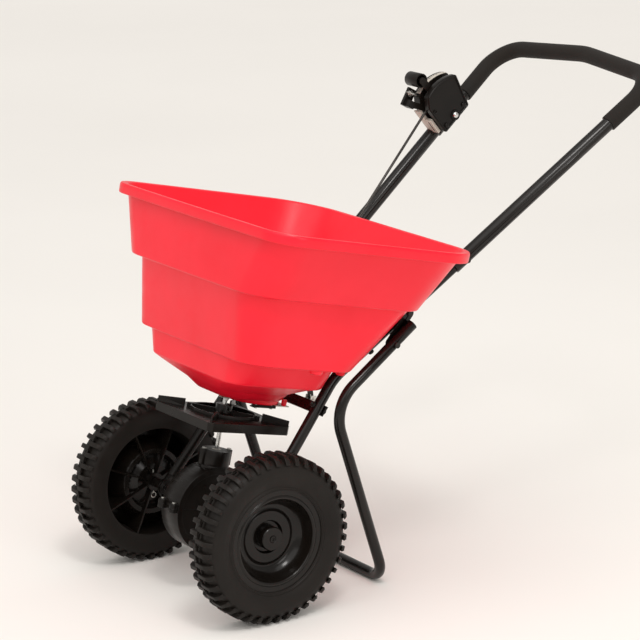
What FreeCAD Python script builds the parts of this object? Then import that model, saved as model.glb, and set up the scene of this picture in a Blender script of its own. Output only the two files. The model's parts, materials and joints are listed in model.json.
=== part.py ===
import FreeCAD, Part
import math
import os
import Sketcher
from FreeCAD import Placement, Rotation, Vector

# A walk-behind broadcast spreader. Millimetres. +Z is up, the front faces -Y, +X is the machine's left side.
# The origin is on the floor, below the middle of the whole machine.
# Three frames are used:
#   world   the row's own frame
#   deck    its origin is the middle of the axle and its +Z runs up the spinner's shaft, which leans back
#   bar     its origin is on the handle's middle line, its +Y runs up the slope of the handle

# Driving dimensions: lengths in millimetres, angles in degrees.
SIZES = {
    "machine_y": -363.4,        # the axle's place, which centres the machine over the origin
    "wheel_radius": 152.4,
    "wheel_width": 64.3,
    "wheel_outer_x": 240.1,     # outer face of each tyre
    "tread_depth": 18.0,
    "tyre_side": 7.0,
    "rim_radius": 97.8,
    "dish_radius": 77.3,
    "ring_radius": 46.6,
    "hub_radius": 17.0,
    "rim_wall": 3.5,
    "rib_count": 8,
    "rib_wall": 3.5,
    "cap_radius": 21.5,
    "axle_radius": 6.35,
    "axle_half": 214.0,
    "running_gap": 0.05,
    "pin_radius": 1.6,
    "frame_radius": 10.0,
    "handle_radius": 12.7,
    "tube_wall": 1.5,
    "grip_radius": 15.7,
    "frame_foot_x": 144.6,
    "frame_bend_x": 127.3,
    "frame_bend_y": 191.6,
    "frame_bend_z": 392.9,
    "frame_bend_radius": 120.0,
    "foot_wall": 5.0,
    "foot_radius": 15.0,
    "foot_gap": 24.0,
    "bush_radius": 9.5,
    "bar_y": 395.1,             # a point of the handle's plane, above the axle
    "bar_z": 547.4,
    "bar_x": 159.5,
    "bar_slope": 37.19,
    "bar_splay": 7.2,           # each side tube leans out by this angle
    "bar_start": 42.7,
    "bar_corner": 562.7,
    "bar_crown": 589.0,
    "bar_bend_radius": 62.0,
    "bar_crown_radius": 160.0,
    "grip_left_start": 438.0,
    "grip_right_start": 430.0,
    "stand_x": 173.2,
    "stand_y": 273.2,
    "stand_bend_y": 159.0,
    "stand_bend_z": 357.0,
    "stand_top_y": 330.2,
    "stand_top_z": 481.6,
    "stand_bend_radius": 75.0,
    "stand_foot_radius": 42.0,
    "deck_tilt": 12.277,
    "rim_top": 543.0,
    "lip_height": 19.0,
    "hopper_wall": 3.0,
    "box_radius": 78.5,
    "box_inner_x": -28.0,
    "box_outer_x": 28.0,
    "box_wall": 3.0,
    "collar_radius": 27.0,
    "collar_top": 108.0,
    "shaft_radius": 4.0,
    "shaft_bottom": 34.0,
    "shaft_top": 244.0,
    "gear_teeth": 48,
    "pinion_teeth": 12,
    "gear_radius": 66.0,
    "pinion_radius": 16.3,
    "pinion_root": 11.7,
    "tooth_width": 2.6,
    "spinner_radius": 122.0,
    "spinner_top": 174.0,
    "spinner_rim": 16.0,
    "spinner_wall": 3.0,
    "vane_height": 14.0,
    "vane_tip_height": 10.0,
    "vane_inner_height": 8.0,
    "vane_count": 4,
    "spinner_turn": -43.0,
    "outlet_y": 53.0,
    "outlet_radius": 56.0,
    "outlet_bottom": 203.0,
    "gate_wall": 2.0,
    "gate_width": 84.0,
    "outlet_hole": 9.0,
    "gate_arm": 43.0,
    "lever_arm": 48.8,
    "lever_swing": 19.0,
    "pivot_y": 677.2,           # the dial's pivot, above the axle
    "pivot_z": 780.2,
    "dial_inner_x": -160.0,
    "dial_middle_x": -171.0,
    "dial_outer_x": -187.0,
    "dial_radius": 79.0,
    "dial_wall": 2.5,
    "dial_far_x": -206.0,
    "knob_reach": 99.7,
    "knob_turn": 134.8,
    "knob_radius": 14.0,
    "knob_length": 36.0,
    "rod_radius": 2.5,
    "bolt_radius": 3.0,
    "bolt_head_radius": 5.5,
    "bolt_head": 4.0,
    "screw_radius": 2.0,
    "screw_head_radius": 3.8,
    "screw_head": 2.6,
}


class Size:
    """A number together with the spreadsheet expression that it comes from."""

    def __init__(self, value, text):
        self.value = float(value)
        self.text = text

    def __float__(self):
        return self.value

    def __neg__(self):
        return Size(-self.value, "-(" + self.text + ")")

    def __add__(self, other):
        return Size(self.value + float(other), "(" + self.text + " + " + words(other) + ")")

    def __radd__(self, other):
        return Size(float(other) + self.value, "(" + words(other) + " + " + self.text + ")")

    def __sub__(self, other):
        return Size(self.value - float(other), "(" + self.text + " - " + words(other) + ")")

    def __rsub__(self, other):
        return Size(float(other) - self.value, "(" + words(other) + " - " + self.text + ")")

    def __mul__(self, other):
        return Size(self.value * float(other), "(" + self.text + " * " + words(other) + ")")

    def __rmul__(self, other):
        return self * other

    def __truediv__(self, other):
        return Size(self.value / float(other), "(" + self.text + " / " + words(other) + ")")


def words(number):
    """The expression text of a Size or of a plain number."""
    if isinstance(number, Size):
        return number.text
    return "(" + repr(float(number)) + ")"


class Sizes:
    """Each driving dimension as an attribute."""


doc = FreeCAD.newDocument("spreader")
sheet = doc.addObject("Spreadsheet::Sheet", "Sizes")
size = Sizes()
for row_number, (alias, number) in enumerate(SIZES.items(), start=1):
    sheet.set("A" + str(row_number), alias)
    sheet.set("B" + str(row_number), str(number))
    sheet.setAlias("B" + str(row_number), alias)
    setattr(size, alias, Size(number, "Sizes." + alias))
doc.recompute()

X = Vector(1, 0, 0)
Y = Vector(0, 1, 0)
Z = Vector(0, 0, 1)
LEFT, RIGHT = 1, -1
SIDES = (LEFT, RIGHT)
subparts = []
frame_nuts = []

# ---------------------------------------------------------------- frames of reference


def machine(x, y, z):
    """A world point from a place measured from the middle of the axle's footprint."""
    return Vector(float(x), float(y) + float(size.machine_y), float(z))


AXLE = Placement(machine(0, 0, size.wheel_radius), Rotation())
DECK = AXLE.multiply(Placement(Vector(), Rotation(X, -float(size.deck_tilt))))
BAR = Placement(machine(0, size.bar_y, size.bar_z), Rotation(X, float(size.bar_slope)))


def aim(base, direction):
    """A placement at a point, with its local Z along a direction."""
    return Placement(Vector(*map(float, base)), Rotation(Z, Vector(*map(float, direction))))


def wheel_place(side):
    """Local Z runs outboard along the axle."""
    return Placement(AXLE.Base, Rotation(Y, 90 * side))


# ---------------------------------------------------------------- building blocks


def give(thing, **values):
    """Sets properties, with an expression wherever the value comes from the sheet."""
    for name, value in values.items():
        if isinstance(value, Size):
            setattr(thing, name, value.value)
            thing.setExpression(name, value.text)
        else:
            setattr(thing, name, value)
    return thing


def make(kind, placement=None, **values):
    thing = doc.addObject("Part::" + kind, kind)
    give(thing, **values)
    if placement is not None:
        thing.Placement = placement
    return thing


def rod(radius, length, base=(0, 0, 0), direction=(0, 0, 1)):
    """A solid cylinder from a base point along a direction."""
    return make("Cylinder", aim(base, direction), Radius=radius, Height=length)


def block(low, sizes, placement=None):
    """A box from its lowest corner, in the frame of a placement."""
    place = Placement(Vector(*map(float, low)), Rotation())
    if placement is not None:
        place = placement.multiply(place)
    return make("Box", place, Length=sizes[0], Width=sizes[1], Height=sizes[2])


def fuse(*things):
    if len(things) == 1:
        return things[0]
    return make("MultiFuse", Shapes=list(things))


def cut(base, *tools):
    return make("Cut", Base=base, Tool=fuse(*tools))


def common(*things):
    return make("MultiCommon", Shapes=list(things))


def group(*things):
    """Several separate solids that belong to one named part."""
    if len(things) == 1:
        return things[0]
    return make("Compound", Links=list(things))


def pipe(radius, bore, length, base=(0, 0, 0), direction=(0, 0, 1)):
    """A straight tube."""
    return cut(rod(radius, length, base, direction), rod(bore, length, base, direction))


def shape(solid):
    """A feature that holds a shape made with Part's own functions."""
    thing = doc.addObject("Part::Feature", "Feature")
    thing.Shape = solid
    return thing


def subpart(name, thing, placement=None):
    """Names a finished piece and puts it in its place."""
    thing.Label = name
    if placement is not None:
        thing.Placement = placement.multiply(thing.Placement)
    subparts.append(thing)
    return thing


def plane_of(body, role):
    return next(item for item in body.Origin.OriginFeatures if item.Role == role)


def outline(body, role, points, start=0):
    """A closed sketch of straight lines whose corners are bound to the sheet."""
    sketch = body.newObject("Sketcher::SketchObject", "Sketch")
    sketch.AttachmentSupport = (plane_of(body, role), [""])
    sketch.MapMode = "FlatFace"
    if start:
        sketch.AttachmentOffset = Placement(Vector(0, 0, float(start)), Rotation())
    corners = [Vector(float(u), float(v), 0) for u, v in points]
    count = len(corners)
    for index in range(count):
        sketch.addGeometry(Part.LineSegment(corners[index], corners[(index + 1) % count]), False)
    for index in range(count):
        sketch.addConstraint(Sketcher.Constraint("Coincident", index, 2, (index + 1) % count, 1))
    for index, point in enumerate(points):
        for kind, number in zip(("DistanceX", "DistanceY"), point):
            place = sketch.addConstraint(Sketcher.Constraint(kind, -1, 1, index, 1, float(number)))
            if isinstance(number, Size):
                sketch.setExpression("Constraints[" + str(place) + "]", number.text)
    return sketch


def turned(points):
    """A body turned about its own Z from corners given as (radius, height)."""
    body = doc.addObject("PartDesign::Body", "Body")
    sketch = outline(body, "XZ_Plane", points)
    feature = body.newObject("PartDesign::Revolution", "Revolution")
    feature.Profile = sketch
    feature.ReferenceAxis = (sketch, ["V_Axis"])
    feature.Angle = 360
    return body


def plate(points, thickness, start=0):
    """A body padded up from corners in its own XY plane."""
    body = doc.addObject("PartDesign::Body", "Body")
    sketch = outline(body, "XY_Plane", points, start)
    feature = body.newObject("PartDesign::Pad", "Pad")
    feature.Profile = sketch
    give(feature, Length=thickness)
    return body


def repeat(body, feature, count):
    """Repeats a feature about the body's own Z."""
    pattern = body.newObject("PartDesign::PolarPattern", "PolarPattern")
    pattern.Originals = [feature]
    pattern.Axis = (body.Origin.OriginFeatures[2], [""])
    pattern.Angle = 360
    give(pattern, Occurrences=int(float(count)))
    body.Tip = pattern
    return pattern


def bent_path(points, radii):
    """A wire of straight runs with a tangent arc of the given radius at each inner point."""
    points = [Vector(*map(float, point)) for point in points]
    edges = []
    last = points[0]
    for before, corner, after, radius in zip(points, points[1:], points[2:], radii):
        back = (before - corner).normalize()
        ahead = (after - corner).normalize()
        half = back.getAngle(ahead) / 2
        reach = float(radius) / math.tan(half)
        centre = corner + (back + ahead).normalize() * (float(radius) / math.sin(half))
        middle = centre + (corner - centre).normalize() * float(radius)
        first, second = corner + back * reach, corner + ahead * reach
        edges.append(Part.LineSegment(last, first).toShape())
        edges.append(Part.Arc(first, middle, second).toShape())
        last = second
    edges.append(Part.LineSegment(last, points[-1]).toShape())
    return Part.Wire(edges)


def swept(path, radius):
    """A round bar along a path."""
    start = path.Vertexes[0].Point
    ahead = path.Edges[0].tangentAt(path.Edges[0].FirstParameter)
    circle = make("Circle", aim(start, ahead), Radius=radius)
    spine = shape(path)
    names = ["Edge" + str(number + 1) for number in range(len(path.Edges))]
    return make("Sweep", Sections=[circle], Spine=(spine, names), Solid=True, Frenet=False)


def bent_tube(path, radius, wall):
    return cut(swept(path, radius), swept(path, radius - wall))


def fastener(base, direction, length, radius, head_radius, head):
    """A pan-head screw whose head's underside sits at the base point."""
    back = Vector(*map(float, direction)).normalize()
    base = Vector(*map(float, base))
    return fuse(rod(radius, length, base, back), rod(head_radius, head, base - back * float(head), back))


def bolt(base, direction, length):
    return fastener(base, direction, length, size.bolt_radius, size.bolt_head_radius, size.bolt_head)


def screw(base, direction, length):
    return fastener(base, direction, length, size.screw_radius, size.screw_head_radius, size.screw_head)


def nut(base, direction, bore=None):
    """A hexagon nut that starts at a base point."""
    bore = size.bolt_radius if bore is None else bore
    hexagon = make("Prism", aim(base, direction), Polygon=6, Circumradius=bore * 1.9, Height=bore * 1.5)
    return cut(hexagon, rod(bore, bore * 1.5, base, direction))


def strap(first, second, x, wall, half):
    """A flat link square to X, rounded about the (y, z) points at its two ends."""
    reach = Vector(0, second[0] - first[0], second[1] - first[1])
    place = Placement(Vector(float(x), *map(float, first)), Rotation(Z, reach))
    ends = [rod(half, wall, (x, *spot), X) for spot in (first, second)]
    return fuse(block((0, -half, 0), (wall, half * 2, reach.Length), place), *ends)


def polar(radius, turn):
    """A (y, z) point at a radius, turned from +Y towards +Z."""
    angle = math.radians(float(turn))
    return float(radius) * math.cos(angle), float(radius) * math.sin(angle)


def keep_nut(base, direction, placement=None):
    """Puts a nut with the rest of the frame's identical nuts."""
    thing = nut(base, direction)
    if placement is not None:
        thing.Placement = placement.multiply(thing.Placement)
    frame_nuts.append(thing)


# ---------------------------------------------------------------- wheels


def tyre(side, name):
    """A tread band that is open on the inboard side, with a bulged wall on the outboard side."""
    outer = size.wheel_outer_x
    inner = outer - size.wheel_width
    tread = size.wheel_radius
    profile = [
        (tread - size.tread_depth, inner),
        (tread - 3, inner),
        (tread, inner + 6),
        (tread, outer - 9),
        (tread - 7, outer - 3),
        (tread - 24, outer),
        (tread - 40, outer - 2),
        (size.rim_radius + 0.2, outer - 7),
        (size.rim_radius + 0.2, outer - 7 - size.tyre_side),
        (tread - 40, outer - 3 - size.tyre_side),
        (tread - size.tread_depth, outer - 9 - size.tyre_side),
    ]
    return subpart(name, turned(profile), wheel_place(side))


def rim(side, name):
    """A dished disc with a hub, stiffened by radial ribs behind it."""
    outer = size.wheel_outer_x
    wall = size.rim_wall
    hub = size.hub_radius
    ring = size.ring_radius
    dish = size.dish_radius
    bore = size.axle_radius + size.running_gap
    profile = [
        (bore, 178.0), (hub, 178.0), (hub, 189.0), (ring - 14, 189.0), (ring + 1, 198.0 - wall / 2),
        (ring + 7, 190.0 - wall), (dish - 15, 190.0 - wall), (dish + 2, outer - 12 - wall),
        (size.rim_radius, outer - 8 - wall), (size.rim_radius, outer - 7), (dish + 2, outer - 9),
        (dish - 1, outer - 11), (dish - 17, 191.0), (ring + 9, 191.0), (ring, 203.0),
        (size.cap_radius + 9, 203.0), (size.cap_radius + 6, 197.0), (size.cap_radius + 0.1, 197.0),
        (size.cap_radius - 1.3, 197.0), (size.cap_radius - 1.3, 205.0), (bore, 205.0),
    ]
    body = turned(profile)
    reach = size.wheel_radius - size.tread_depth - 0.6
    sketch = outline(body, "XZ_Plane", [
        (hub - 2, 181.0), (reach, 181.0), (reach, outer - 20), (dish + 20, outer - 15),
        (dish + 3, outer - 14), (dish - 15.3, 189.5), (hub - 2, 190.5),
    ], start=-size.rib_wall / 2)
    pad = body.newObject("PartDesign::Pad", "Pad")
    pad.Profile = sketch
    give(pad, Length=size.rib_wall)
    doc.recompute()
    repeat(body, pad, size.rib_count)
    body.Placement = Placement(Vector(), Rotation(Z, 180.0 / float(size.rib_count)))
    if side == RIGHT:
        body = cut(body, rod(size.pin_radius + 0.05, 60, (-30, 0, -DRIVE_PIN_X), X))
    return subpart(name, body, wheel_place(side))


def hub_cap(side, name):
    """A cap over the end of the axle."""
    radius = size.cap_radius
    profile = [
        (0, 216.5), (radius - 4, 216.5), (radius - 4, 205.2), (radius - 1.2, 205.2),
        (radius - 1.2, 197.2), (radius, 197.2), (radius, 217.0), (radius - 1.5, 218.8), (7.0, 218.8),
        (6.0, 217.6), (0, 217.6),
    ]
    return subpart(name, turned(profile), wheel_place(side))


def wheels():
    for side, word in zip(SIDES, ("left", "right")):
        tyre(side, word + "_tyre")
        rim(side, word + "_rim")
        hub_cap(side, word + "_hub_cap")


# ---------------------------------------------------------------- axle


def axle():
    half = size.axle_half
    bar = rod(size.axle_radius, half * 2, (-half, 0, 0), X)
    holes = [rod(size.pin_radius, 40, (x, 0, -20), Z) for x in (DRIVE_PIN_X, KEEPER_X)]
    lean = Rotation(X, -float(size.deck_tilt)).multVec(Z)
    holes.append(rod(size.pin_radius, 40, X * GEAR_PIN_X - lean * 20, lean))
    subpart("axle", cut(bar, *holes), AXLE)
    loop = make("Torus", aim((DRIVE_PIN_X, 0, -27.0), X), Radius1=5.0, Radius2=size.pin_radius * 0.6)
    subpart("drive_pin", fuse(rod(size.pin_radius, 45, (DRIVE_PIN_X, 0, -23.0), Z), loop), AXLE)
    pins = [rod(size.pin_radius, 26, (KEEPER_X, 0, -13), Z)]
    pins.append(rod(size.pin_radius, 26, X * GEAR_PIN_X - lean * 13, lean))
    subpart("axle_pins", group(*pins), AXLE)
    bore = size.axle_radius + size.running_gap
    washers = [pipe(12.0, bore, 1.5, (x, 0, 0), X) for x in (205.3, 148.2, -149.7)]
    subpart("axle_washers", group(*washers), AXLE)
    spacers = [pipe(9.0, bore, 27.5, (x, 0, 0), X) for x in (150.1, -177.6)]
    subpart("axle_spacers", group(*spacers), AXLE)
    bushes = []
    for side in SIDES:
        middle = float(size.frame_foot_x) * side
        sleeve = rod(size.bush_radius, size.foot_wall + 1, (middle - 3 * side, 0, 0), (side, 0, 0))
        flange = rod(13.0, 2.0, (middle - (float(size.foot_wall) / 2 + 2) * side, 0, 0), (side, 0, 0))
        bushes.append(cut(fuse(sleeve, flange), rod(bore, 20, (middle - 10, 0, 0), X)))
    subpart("axle_bushes", group(*bushes), AXLE)


DRIVE_PIN_X = -187.0
KEEPER_X = 209.5
GEAR_PIN_X = -22.0


# ---------------------------------------------------------------- frame, stand and handle

BAR_LEAN = math.tan(math.radians(float(size.bar_splay)))


def bar_point(x, along):
    """A world point in the handle's plane."""
    return BAR.multVec(Vector(float(x), float(along), 0))


def side_point(side, along, lift=0):
    """A world point on a side tube's line, lifted square to the handle's plane."""
    x = side * (float(size.bar_x) + BAR_LEAN * float(along))
    return BAR.multVec(Vector(x, float(along), float(lift)))


def frame_path(side):
    foot = machine(size.frame_foot_x * side, 0, size.wheel_radius)
    bend = machine(size.frame_bend_x * side, size.frame_bend_y, size.frame_bend_z)
    start = foot + (bend - foot).normalize() * float(size.foot_gap)
    return bent_path([start, bend, side_point(side, size.bar_start + 60)], [size.frame_bend_radius])


def frame_tube(side, name):
    """A tube from the axle up the hopper's back, with a flat foot that holds the axle's bush."""
    path = frame_path(side)
    start = path.Vertexes[0].Point
    foot = machine(size.frame_foot_x * side, 0, size.wheel_radius)
    back = (start - foot).normalize()
    lean = Rotation(Z, Vector(0, back.y, back.z))
    place = Placement(foot, lean)
    wall = size.foot_wall
    reach = size.foot_gap + 14
    web = block((-wall / 2, -size.frame_radius, 0), (wall, size.frame_radius * 2, reach), place)
    eye = rod(size.foot_radius, wall, foot - X * (float(wall) / 2), X)
    hole = rod(size.bush_radius + size.running_gap, wall * 3, foot - X * float(wall) * 1.5, X)
    tube = bent_tube(path, size.frame_radius, size.tube_wall)
    holes = [rod(size.bolt_radius, 60, side_point(side, along, -30), BAR.Rotation.multVec(Z))
             for along in HOPPER_BOLTS]
    holes.append(rod(size.bolt_radius, 60, side_point(side, HANDLE_BOLT) - X * 30, X))
    holes.append(rod(size.bolt_radius, 60, side_point(side, STAND_BOLT) - X * 30, X))
    brace = DECK.multiply(brace_place())
    hole_start = brace.multVec(Vector(side * brace_x(), -30, 0))
    holes.append(rod(size.bolt_radius + 0.05, 60, hole_start, brace.Rotation.multVec(Y)))
    return subpart(name, cut(fuse(tube, web, eye), hole, *holes))


def handle_path():
    left, right = [
        (side * (float(size.bar_x) + BAR_LEAN * float(size.bar_start)), size.bar_start) for side in SIDES]
    corner = float(size.bar_x) + BAR_LEAN * float(size.bar_corner)
    points = [left, (corner, size.bar_corner), (0, size.bar_crown), (-corner, size.bar_corner), right]
    radii = [size.bar_bend_radius, size.bar_crown_radius, size.bar_bend_radius]
    return bent_path([bar_point(*point) for point in points], radii)


def shortened(path, first, last):
    """The same path with its two end runs started at other distances along the slope."""
    edges = list(path.Edges)
    begin = side_point(LEFT, first)
    end = side_point(RIGHT, last)
    edges[0] = Part.LineSegment(begin, edges[0].Vertexes[1].Point).toShape()
    edges[-1] = Part.LineSegment(edges[-1].Vertexes[0].Point, end).toShape()
    return Part.Wire(edges)


def handle():
    path = handle_path()
    slim = size.frame_radius + 0.25
    tube = cut(swept(path, size.handle_radius), swept(path, slim))
    holes = [rod(size.bolt_radius, 60, side_point(side, HANDLE_BOLT) - X * 30, X) for side in SIDES]
    subpart("handle_bar", cut(tube, *holes))
    sleeve = shortened(path, size.grip_left_start, size.grip_right_start)
    subpart("foam_grip", cut(swept(sleeve, size.grip_radius), swept(sleeve, size.handle_radius)))


def stand_path():
    points = []
    for side in SIDES:
        x = size.stand_x * side
        leg = [
            machine(x, size.stand_top_y, size.stand_top_z),
            machine(x, size.stand_bend_y, size.stand_bend_z),
            machine(x, size.stand_y, size.frame_radius),
        ]
        points += leg if side == LEFT else leg[::-1]
    radii = [size.stand_bend_radius, size.stand_foot_radius, size.stand_foot_radius, size.stand_bend_radius]
    return bent_path(points, radii)


def stand():
    path = stand_path()
    place = stand_bolt_places()
    holes = [rod(size.bolt_radius, 60, spot - X * 30, X) for spot in place]
    subpart("stand", cut(bent_tube(path, size.frame_radius, size.tube_wall), *holes))
    plugs = []
    for end, edge in ((path.Edges[0].Vertexes[0], 0), (path.Edges[-1].Vertexes[1], -1)):
        other = path.Edges[edge].Vertexes[1 if edge == 0 else 0].Point
        inward = (other - end.Point).normalize()
        cap = rod(size.frame_radius, 2.0, end.Point - inward * 2, inward)
        stem = rod(size.frame_radius - size.tube_wall - 0.05, 12.0, end.Point, inward)
        plugs.append(fuse(cap, stem))
    subpart("stand_plugs", group(*plugs))


def stand_bolt_places():
    """The bolts' centres on the stand's upper runs, a little below their ends."""
    top = Vector(0, float(size.stand_top_y), float(size.stand_top_z))
    bend = Vector(0, float(size.stand_bend_y), float(size.stand_bend_z))
    spot = top + (bend - top).normalize() * 50
    return [machine(size.stand_x * side, spot.y, spot.z) for side in SIDES]


HOPPER_BOLTS = (-172.0, -120.0)
HANDLE_BOLT = 66.0
STAND_BOLT = -78.0


def stand_strap(side, first, second):
    """A flat strap between the bolt on a frame tube and the bolt on the stand."""
    wall = 2.0
    inner = float(size.stand_x) - float(size.frame_radius) - wall
    x = inner if side == LEFT else -inner - wall
    flat = strap((first.y, first.z), (second.y, second.z), x, wall, 9.0)
    return cut(flat, *[rod(size.bolt_radius, 20, (x - 10, spot.y, spot.z), X) for spot in (first, second)])


def frame():
    straps, bolts, long_bolts = [], [], []
    for side, word, stand_spot in zip(SIDES, ("left", "right"), stand_bolt_places()):
        frame_tube(side, word + "_frame_tube")
        spot = side_point(side, STAND_BOLT)
        face = float(size.stand_x) - float(size.frame_radius)
        straps.append(stand_strap(side, spot, stand_spot))
        for place, low, high in (
                (spot, abs(spot.x) - float(size.frame_radius) - 1.0, face),
                (stand_spot, face - 2.0, float(size.stand_x) + float(size.frame_radius) + 0.1)):
            base = Vector(side * high, place.y, place.z)
            bolts.append(bolt(base, X * -side, high - low + 6))
            keep_nut(Vector(side * low, place.y, place.z), X * -side)
        joint = side_point(side, HANDLE_BOLT)
        edge = float(size.handle_radius) + 0.9
        long_bolts.append(bolt(joint + X * side * edge, X * -side, edge * 2 + 6))
        keep_nut(joint - X * side * edge, X * -side)
    subpart("stand_straps", group(*straps))
    subpart("stand_bolts", group(*bolts))
    subpart("handle_bolts", group(*long_bolts))


# ---------------------------------------------------------------- hopper


def rounded(level, height, inset=0.0):
    """A closed wire in a deck plane: half width, front, back, front radius, back radius."""
    half, front, back, front_radius, back_radius = level
    half -= inset
    front += inset
    back -= inset
    near = max(front_radius - inset, 2.0)
    far = max(back_radius - inset, 2.0)
    corners = (
        (half, front, near, -90), (half, back, far, 0),
        (-half, back, far, 90), (-half, front, near, 180),
    )
    edges = []
    arcs = []
    for x, y, radius, turn in corners:
        centre = Vector(x - math.copysign(radius, x), y + (radius if y == front else -radius), height)
        points = []
        for step in (0, 45, 90):
            angle = math.radians(turn + step)
            points.append(centre + Vector(math.cos(angle), math.sin(angle), 0) * radius)
        arcs.append(points)
    for index, points in enumerate(arcs):
        edges.append(Part.Arc(*points).toShape())
        edges.append(Part.LineSegment(points[2], arcs[(index + 1) % 4][0]).toShape())
    return Part.Wire(edges)


# Each tier of the hopper from the top down: the height of its top and bottom, and the two outlines.
HOPPER_TIERS = (
    (543.0, (282.0, -131.0, 306.0, 40.0, 98.0), 423.4, (232.3, -131.7, 247.5, 58.0, 66.0)),
    (423.4, (208.8, -120.4, 245.0, 53.0, 58.0), 299.0, (198.0, -99.5, 141.0, 38.0, 48.0)),
    (299.0, (163.8, -94.5, 128.0, 38.0, 45.0), 254.7, (145.7, -89.8, 120.0, 25.5, 40.0)),
    (254.7, (145.7, -89.8, 120.0, 25.5, 40.0), 213.4, (70.0, -40.0, 112.0, 36.0, 40.0)),
)
RIM = (291.8, -140.4, 313.8, 27.0, 104.0)


def hopper():
    """A tiered shell with a turned-down lip, a flat floor and a round outlet boss below it."""
    wall = float(size.hopper_wall)
    top = float(size.rim_top)
    lip = float(size.lip_height)
    outside, inside = [], []
    for high, upper, low, lower in HOPPER_TIERS:
        outside.append(Part.makeLoft([rounded(lower, low), rounded(upper, high)], True, True))
        raised = high if high < top else top + 1
        drop = low + wall
        inner_high = raised if raised > top else high + wall
        inside.append(Part.makeLoft([rounded(lower, drop, wall), rounded(upper, inner_high, wall)], True, True))
    rim_outer = Part.makeLoft([rounded(RIM, top - lip), rounded(RIM, top)], True, True)
    rim_inner = Part.makeLoft([rounded(RIM, top - lip - 1, wall), rounded(RIM, top - wall, wall)], True, True)
    body = outside[0].fuse(outside[1:]).removeSplitter()
    lip_ring = rim_outer.cut(rim_inner)
    cavity = inside[0].fuse(inside[1:])
    boss = Part.makeCylinder(float(size.outlet_radius), 213.4 + wall - float(size.outlet_bottom),
                             Vector(0, float(size.outlet_y), float(size.outlet_bottom)))
    well = Part.makeCylinder(15.0, 213.4 + wall - 206.0, Vector(0, 0, 206.0))
    holes = [Part.makeCylinder(float(size.outlet_hole), 30, Vector(x, y, 195)) for x, y in OUTLETS]
    holes.append(Part.makeCylinder(9.0, 30, Vector(0, 0, 195)))
    holes.append(Part.makeCylinder(12.7, 11.0, Vector(0, 0, 195)))
    rail_x = float(size.gate_width) / 2 + RAIL_MIDDLE
    for side in SIDES:
        holes += [Part.makeCylinder(1.5, 13.0, Vector(side * rail_x, y, 195)) for y in RAIL_SCREWS]
    solid = body.fuse([lip_ring]).cut(cavity).fuse([boss, well]).cut(Part.makeCompound(holes))
    solid.Placement = DECK
    drill = BAR.Rotation.multVec(Z)
    for side in SIDES:
        for along in HOPPER_BOLTS:
            base = side_point(side, along)
            solid = solid.cut(Part.makeCylinder(float(size.bolt_radius) + 0.1, 60, base, drill))
    subpart("hopper", shape(solid))
    bush = cut(fuse(rod(8.9, 12.4, (0, 0, 204.0)), rod(12.5, 2.0, (0, 0, 204.0))),
               rod(size.shaft_radius + size.running_gap, 30, (0, 0, 195)))
    subpart("hopper_shaft_bush", bush, DECK)


OUTLETS = ((-28.0, 64.0), (0.0, 64.0), (28.0, 64.0))


def hopper_fasteners():
    """Bolts from behind the frame tubes through the hopper's back wall, with spacers between."""
    drill = BAR.Rotation.multVec(Z)
    bolts, spacers = [], []
    for side in SIDES:
        for along in HOPPER_BOLTS:
            base = side_point(side, along, -float(size.frame_radius) - 0.2)
            bolts.append(bolt(base, drill, 31.0))
            keep_nut(side_point(side, along, NUT_LIFT), drill)
            spacers.append(pipe(7.0, size.bolt_radius, 1.6, side_point(side, along, 10.2), drill))
    subpart("hopper_bolts", group(*bolts))
    subpart("hopper_spacers", group(*spacers))


NUT_LIFT = 17.0


# ---------------------------------------------------------------- gearbox


def shell_half(upper):
    """Half of the drum that holds the gears, split level with the axle, with an ear at each end."""
    left, right = float(size.box_inner_x), float(size.box_outer_x)
    width = right - left
    radius, wall = size.box_radius, size.box_wall
    drum = rod(radius, width, (left, 0, 0), X)
    hollow = rod(radius - wall, width - 2 * float(wall), (left + float(wall), 0, 0), X)
    recess = pipe(radius - 11, 15.0, 4.0, (right - 1.5, 0, 0), X)
    bore = rod(size.axle_radius + size.running_gap, width + 40, (left - 20, 0, 0), X)
    boss = rod(13.0, width + 12, (left - 6, 0, 0), X)
    ears = []
    ear_holes = []
    for direction in (-1, 1):
        y = direction * (float(radius) + 5)
        for x in (left + 9, right - 9):
            low = -8.0
            ears.append(rod(8.0, 16.0, (x, y, low), Z))
            ear_holes.append(rod(size.screw_radius, 40, (x, y, -20), Z))
    solid = fuse(drum, boss, *ears)
    keep_low = 0.0 if upper else -200.0
    keep = block((-100, -120, keep_low), (200, 240, 200))
    tools = [hollow, recess, bore, *ear_holes]
    if upper:
        collar = rod(size.collar_radius, 18.0, (0, 0, 62.0))
        solid = fuse(solid, collar)
        tools.append(rod(12.0, 40, (0, 0, 50)))
    return common(cut(solid, *tools), keep)


def gearbox():
    subpart("gearbox_upper", shell_half(True), DECK)
    subpart("gearbox_lower", shell_half(False), DECK)
    left, right = float(size.box_inner_x), float(size.box_outer_x)
    screws = []
    for direction in (-1, 1):
        for x in (left + 9, right - 9):
            screws.append(screw((x, direction * (float(size.box_radius) + 5), 8.0), (0, 0, -1), 15.5))
    height = size.collar_top - 80
    cap = rod(size.collar_radius, height, (0, 0, 80))
    ears = [rod(6.5, height, (0, y, 80)) for y in (-27.0, 27.0)]
    holes = [rod(size.screw_radius, 60, (0, y, 60)) for y in (-27.0, 27.0)]
    well = rod(9.0, height + 10, (0, 0, 75))
    subpart("gearbox_collar", cut(fuse(cap, *ears), well, *holes), DECK)
    screws += [screw((0, y, size.collar_top), (0, 0, -1), 26.0) for y in (-27.0, 27.0)]
    subpart("gearbox_screws", group(*screws), DECK)
    bush = pipe(8.95, size.shaft_radius + size.running_gap, 26, (0, 0, 82))
    subpart("shaft_bush", bush, DECK)


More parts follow.
